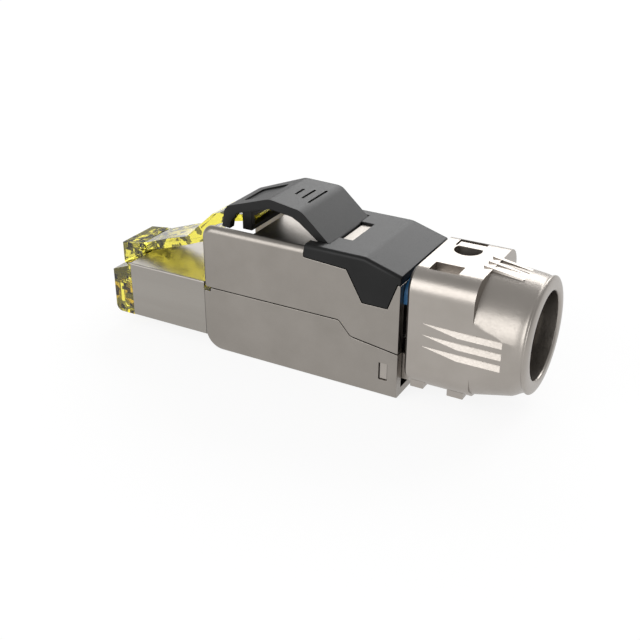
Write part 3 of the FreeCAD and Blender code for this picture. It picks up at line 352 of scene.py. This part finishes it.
SADDLE_ROUND = 0.1 * MM
LEVER_ROUND = 0.07 * MM
SINK = 0.2 * MM
# An edge of a cutter that is as much in line with its axis as this stands upright in it
UPRIGHT = 0.9
PANEL_SIZE = (3.7 * MM, 4.3 * MM)
PANEL_CORNER = 0.5 * MM
STROKE_WIDTH = 0.28 * MM
STROKE_CORNER = 0.45 * STROKE_WIDTH
STROKE_LENGTHS = (1.9 * MM, 2.9 * MM, 4.2 * MM)
STROKE_PLACES = (-2.95 * MM, -1.85 * MM, -0.75 * MM)
# The middle of each facet along and up, and how far it leans
FRONT_FACET = (-7.15 * MM, 17.62 * MM, math.radians(-19.3))
MIDDLE_FACET = (-2.35 * MM, 18.36 * MM, math.radians(5.2))

black_nylon, tree, shader, place = new_material(
    "black_nylon", colour=(0.007, 0.007, 0.007), roughness=0.38)
add_grain(tree, place, shader, coarse=200, fine=7000, roughness=(0.34, 0.43), tooth=0.01 * MM,
          tones=((0.005, 0.005, 0.005), (0.009, 0.009, 0.009)))
shader.inputs["Specular IOR Level"].default_value = 0.24


def sink_into(piece, name, x, z, size, lean, corner):
    """Sink a pad-shaped hollow with round corners into a piece, square to a facet that leans."""
    bpy.ops.mesh.primitive_cube_add(size=1, location=(x, 0, z), rotation=(0, lean, 0))
    cutter = bpy.context.object
    cutter.name = name
    cutter.scale = (size[0], size[1], 2 * SINK)
    bpy.ops.object.transform_apply(location=True, rotation=True, scale=True)
    axis = Vector((math.sin(lean), 0, math.cos(lean)))
    bpy.ops.object.mode_set(mode="EDIT")
    select_where(cutter, "EDGE", lambda one, two: abs((one - two).normalized().dot(axis)) > UPRIGHT)
    bpy.ops.mesh.bevel(offset=corner, segments=5)
    bpy.ops.object.mode_set(mode="OBJECT")
    cutter.select_set(False)
    apply_modifier(piece, name, "BOOLEAN", object=cutter, operation="DIFFERENCE", solver="EXACT")
    bpy.data.objects.remove(cutter)


saddle = soft_copy("saddle_cover", SADDLE_ROUND)
finish_piece(saddle, black_nylon, "housing", "saddle_cover")
lever = soft_copy("release_lever", LEVER_ROUND)
x, z, lean = FRONT_FACET
sink_into(lever, "sunk_panel", x, z, PANEL_SIZE, lean, PANEL_CORNER)
x, z, lean = MIDDLE_FACET
for length, at in zip(STROKE_LENGTHS, STROKE_PLACES):
    height = z - (at - x) * math.tan(lean)
    sink_into(lever, "stroke", at, height, (STROKE_WIDTH, length), lean, STROKE_CORNER)
smooth_shade(lever)
finish_piece(lever, black_nylon, "lever", "release_lever")

# Nose and latch tab: moulded in clear yellow polycarbonate, polished where the tool was. Its thick walls
# bend the light over and over; that bent light is painted into its colour as cells of bright and nearly
# black yellow, a painted refraction with painted shade of the dark parts inside.

NOSE_ROUND = 0.05 * MM
# Painted dark cells are densest at the front end of this stretch, and a tenth is left at its rear end
CHIPS_ALONG = (-20 * MM, -13 * MM)
CHIPS_LEFT = (1.0, 0.1)
CHIPS_SCALE = 1400
CHIPS_SHARE = 0.33
BRIGHT_YELLOW = (0.94, 0.84, 0.09)
PAINTED_DARK_YELLOW = (0.02, 0.018, 0.006)


def compute(tree, operation, first, second):
    """The outcome of one sum or comparison of two numbers, each plain or another node's output."""
    node = add_node(tree, "Math", operation=operation)
    for socket, value in zip(node.inputs, (first, second)):
        if isinstance(value, bpy.types.NodeSocket):
            tree.links.new(value, socket)
        else:
            socket.default_value = value
    return node.outputs[0]


# Painted refraction: random cells turn near black, standing in for light bent away by the walls and the
# dark parts seen through them.
painted_refraction, chips_in, chips_out = new_group("painted_refraction", ("Scale", "Share"), ("Dark",))
cells = add_node(painted_refraction, "TexVoronoi", distance="CHEBYCHEV", feature="F1", Randomness=1.0,
                 Vector=chips_in.outputs["Place"], Scale=chips_in.outputs["Scale"])
chance = add_node(painted_refraction, "SeparateColor", Color=cells.outputs["Color"]).outputs["Red"]
along = add_node(painted_refraction, "SeparateXYZ", Vector=chips_in.outputs["Place"]).outputs["X"]
limit = compute(painted_refraction, "MULTIPLY", chips_in.outputs["Share"], spread(painted_refraction, along, CHIPS_ALONG, CHIPS_LEFT))
painted_refraction.links.new(compute(painted_refraction, "LESS_THAN", chance, limit), chips_out.inputs["Dark"])

clear_yellow, tree, shader, place = new_material(
    "clear_yellow", colour=(0.9, 0.78, 0.04), roughness=0.05)
shader.inputs["Transmission Weight"].default_value = 0.94
shader.inputs["IOR"].default_value = 1.585
shader.inputs["Specular IOR Level"].default_value = 0.2
pattern = add_node(tree, "Group", node_tree=painted_refraction, Place=place, Scale=CHIPS_SCALE, Share=CHIPS_SHARE)
yellow = blend(tree, pattern.outputs["Dark"], BRIGHT_YELLOW, PAINTED_DARK_YELLOW)
tree.links.new(yellow, shader.inputs["Base Color"])
swirl = add_node(tree, "TexNoise", Vector=place, Scale=420.0, Detail=2.0)
bump = add_node(tree, "Bump", Strength=0.3, Distance=0.02 * MM, Height=swirl.outputs["Fac"])
tree.links.new(bump.outputs["Normal"], shader.inputs["Normal"])
for node, body in (("plug_nose", "housing"), ("latch_tab", "tab")):
    finish_piece(soft_copy(node, NOSE_ROUND), clear_yellow, body, node)

# Contacts: eight blades stamped in phosphor bronze and plated with gold, which stand in the slots
# of the nose's comb.

WAYS = range(1, 9)

gold_plate, tree, shader, place = new_material(
    "gold_plate", colour=(0.83, 0.62, 0.25), roughness=0.22, metallic=1.0)
add_grain(tree, place, shader, coarse=700, fine=9000, roughness=(0.16, 0.3), tooth=0.003 * MM,
          tones=((0.78, 0.57, 0.22), (0.87, 0.66, 0.29)))
paint(gold_plate, *[f"contact_{number}" for number in WAYS])

# Circuit board: woven glass cloth under green solder mask. It joins the blades to the forks of the
# terminal block.

board_mask, tree, shader, place = new_material(
    "board_mask", colour=(0.02, 0.16, 0.06), roughness=0.35)
add_grain(tree, place, shader, coarse=900, fine=2400, roughness=(0.25, 0.45), tooth=0.01 * MM,
          tones=((0.015, 0.13, 0.05), (0.03, 0.20, 0.08)))
paint(board_mask, "circuit_board")

# Terminal block and its forks: a moulding of glass-filled plastic, and eight forks of tinned bronze
# that are pressed into it and cut into the wires.

block_plastic, tree, shader, place = new_material(
    "block_plastic", colour=(0.02, 0.02, 0.02), roughness=0.5)
add_grain(tree, place, shader, coarse=500, fine=5000, roughness=(0.4, 0.6), tooth=0.01 * MM,
          tones=((0.016, 0.016, 0.016), (0.03, 0.03, 0.03)))
paint(block_plastic, "idc_block")
tinned_bronze, tree, shader, place = new_material(
    "tinned_bronze", colour=(0.62, 0.60, 0.57), roughness=0.3, metallic=1.0)
add_grain(tree, place, shader, coarse=800, fine=7000, roughness=(0.24, 0.38), tooth=0.005 * MM,
          tones=((0.55, 0.53, 0.50), (0.68, 0.66, 0.63)))
paint(tinned_bronze, *[f"idc_terminal_{number}" for number in WAYS])

# Wire manager: moulded blue bar, painted near black below a height as painted shade where it sits deep in
# the housing, with the cast metal cross that keeps the pairs apart.

BLUE_FROM = 10.8 * MM
PAINTED_SHADE_BELOW = (0.008, 0.007, 0.006)

blue_plastic, tree, shader, place = new_material(
    "blue_plastic", colour=(0.006, 0.08, 0.2), roughness=0.4)
blue = add_grain(tree, place, shader, coarse=260, fine=6000, roughness=(0.34, 0.48),
                 tooth=0.01 * MM, tones=((0.005, 0.07, 0.17), (0.008, 0.095, 0.23)))
# Below this height the blue gives way to near black: painted shade, not a second colour of the moulding.
height = add_node(tree, "SeparateXYZ", Vector=place).outputs["Z"]
above = compute(tree, "GREATER_THAN", height, BLUE_FROM)
tree.links.new(blend(tree, above, PAINTED_SHADE_BELOW, blue), shader.inputs["Base Color"])
paint(blue_plastic, "wire_manager")
separator_metal, tree, shader, place = new_material(
    "separator_metal", colour=(0.5, 0.48, 0.45), roughness=0.4, metallic=1.0)
add_grain(tree, place, shader, coarse=400, fine=6000, roughness=(0.34, 0.5), tooth=0.01 * MM,
          tones=((0.44, 0.42, 0.39), (0.54, 0.52, 0.49)))
paint(separator_metal, "pair_separator")

# Cable clamp: slotted sleeve of spring steel, bright from rolling, which sits in the cap's collar
# and grips the cable.

spring_steel, tree, shader, place = new_material(
    "spring_steel", colour=(0.5, 0.47, 0.43), roughness=0.3, metallic=1.0)
add_grain(tree, place, shader, coarse=500, fine=8000, roughness=(0.24, 0.38), tooth=0.005 * MM,
          tones=((0.45, 0.42, 0.38), (0.55, 0.52, 0.48)))
paint(spring_steel, "cable_clamp")

# Studio: a pale floor that shows white but keeps the plug's shadow, an even pale room, a wide lamp
# behind the plug, a small one behind its nose and a wide one in front. The camera's place, turn and
# lens are those of the photograph, worked out from the housing's straight edges.

WHITE = (1, 1, 1, 1)
FLOOR_REACH = 1.5
FLOOR_PALE = (0.9, 0.9, 0.9, 1)
FLOOR_GLOW = 1.02
FLOOR_GLOW_SHARE = 0.85
ROOM_LIGHT = (0.56, 1.0)
CAMERA_PLACE = (0.048134, -0.088445, 0.055267)
CAMERA_LENS = 56.3
CAMERA_NEAR = 0.005
AZIMUTH, ELEVATION, ROLL = (math.radians(angle) for angle in (28.77, 27.16, 0.21))

bpy.ops.mesh.primitive_plane_add(size=2 * FLOOR_REACH)
floor = bpy.context.object
floor.name = "studio_floor"
floor_paint = bpy.data.materials.new("studio_floor")
floor_paint.use_nodes = True
tree = floor_paint.node_tree
tree.nodes.remove(tree.nodes["Principled BSDF"])
matt = add_node(tree, "BsdfDiffuse", Color=FLOOR_PALE)
glow = add_node(tree, "Emission", Color=WHITE, Strength=FLOOR_GLOW)
rays = add_node(tree, "LightPath")
seen = compute(tree, "MAXIMUM", rays.outputs["Is Camera Ray"], rays.outputs["Is Glossy Ray"])
seen = compute(tree, "MAXIMUM", seen, rays.outputs["Is Transmission Ray"])
mix = add_node(tree, "MixShader", Fac=compute(tree, "MULTIPLY", seen, FLOOR_GLOW_SHARE))
tree.links.new(matt.outputs[0], mix.inputs[1])
tree.links.new(glow.outputs[0], mix.inputs[2])
tree.links.new(mix.outputs[0], tree.nodes["Material Output"].inputs["Surface"])
floor.data.materials.append(floor_paint)

world = bpy.data.worlds.new("studio")
bpy.context.scene.world = world
world.use_nodes = True
tree = world.node_tree
sky = tree.nodes["Background"]
sky.inputs["Color"].default_value = WHITE
rays = add_node(tree, "LightPath")
seen = compute(tree, "MAXIMUM", rays.outputs["Is Camera Ray"], rays.outputs["Is Transmission Ray"])
tree.links.new(spread(tree, seen, (0.0, 1.0), ROOM_LIGHT), sky.inputs["Strength"])


def add_lamp(name, place, aim, width, height, power):
    """A flat lamp at a place, turned towards what it lights, and hidden from the camera."""
    lamp = bpy.data.lights.new(name, "AREA")
    lamp.shape = "RECTANGLE"
    lamp.size, lamp.size_y = width, height
    lamp.energy = power
    holder = bpy.data.objects.new(name, lamp)
    holder.location = place
    holder.rotation_euler = (Vector(place) - Vector(aim)).to_track_quat("Z", "Y").to_euler()
    holder.visible_camera = False
    bpy.context.scene.collection.objects.link(holder)


add_lamp("behind", place=(0.012, 0.345, 0.24), aim=(0, 0, 0.012), width=0.44, height=0.2, power=1.12)
add_lamp("left_back", place=(-0.245, 0.29, 0.19), aim=(0, 0, 0.01), width=0.16, height=0.16, power=0.15)
add_lamp("front_left", place=(-0.126, -0.365, 0.172), aim=(0, 0, 0.01), width=0.40, height=0.32, power=1.05)

back = Vector((math.sin(AZIMUTH) * math.cos(ELEVATION), -math.cos(AZIMUTH) * math.cos(ELEVATION),
               math.sin(ELEVATION)))
across = Vector((math.cos(AZIMUTH), math.sin(AZIMUTH), 0))
upward = back.cross(across)
turned = Matrix((across * math.cos(ROLL) + upward * math.sin(ROLL),
                 upward * math.cos(ROLL) - across * math.sin(ROLL), back)).transposed().to_4x4()
lens = bpy.data.cameras.new("camera")
lens.lens = CAMERA_LENS
lens.clip_start = CAMERA_NEAR
camera = bpy.data.objects.new("camera", lens)
camera.matrix_world = Matrix.Translation(CAMERA_PLACE) @ turned
bpy.context.scene.collection.objects.link(camera)
bpy.context.scene.camera = camera
bpy.context.scene.view_settings.view_transform = "Standard"
